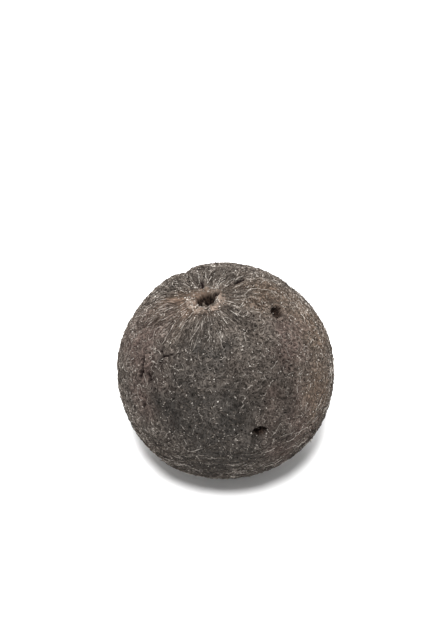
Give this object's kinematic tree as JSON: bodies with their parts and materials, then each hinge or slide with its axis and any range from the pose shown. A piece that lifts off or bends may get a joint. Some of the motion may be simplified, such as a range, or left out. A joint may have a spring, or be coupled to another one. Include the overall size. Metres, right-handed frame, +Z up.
{
  "type": "rudraksha seed",
  "caption": "Rudraksha seed dried in its husk: a nearly round nut with shallow furrows, a puckered stem end, round pores and a raised fibrous net.",
  "frame": {"origin": "centre of the seed's box, on the surface that it rests on", "axes": "+Z up through the seed, with the stem end at the top and leaning a little; -Y is the side with the two front pores; +X is to the right from there"},
  "size_m": [0.025, 0.0249, 0.0238],
  "materials": {
    "husk": "matte"
  },
  "bodies": {
    "root": {"seed": "husk"}
  },
  "joints": []
}
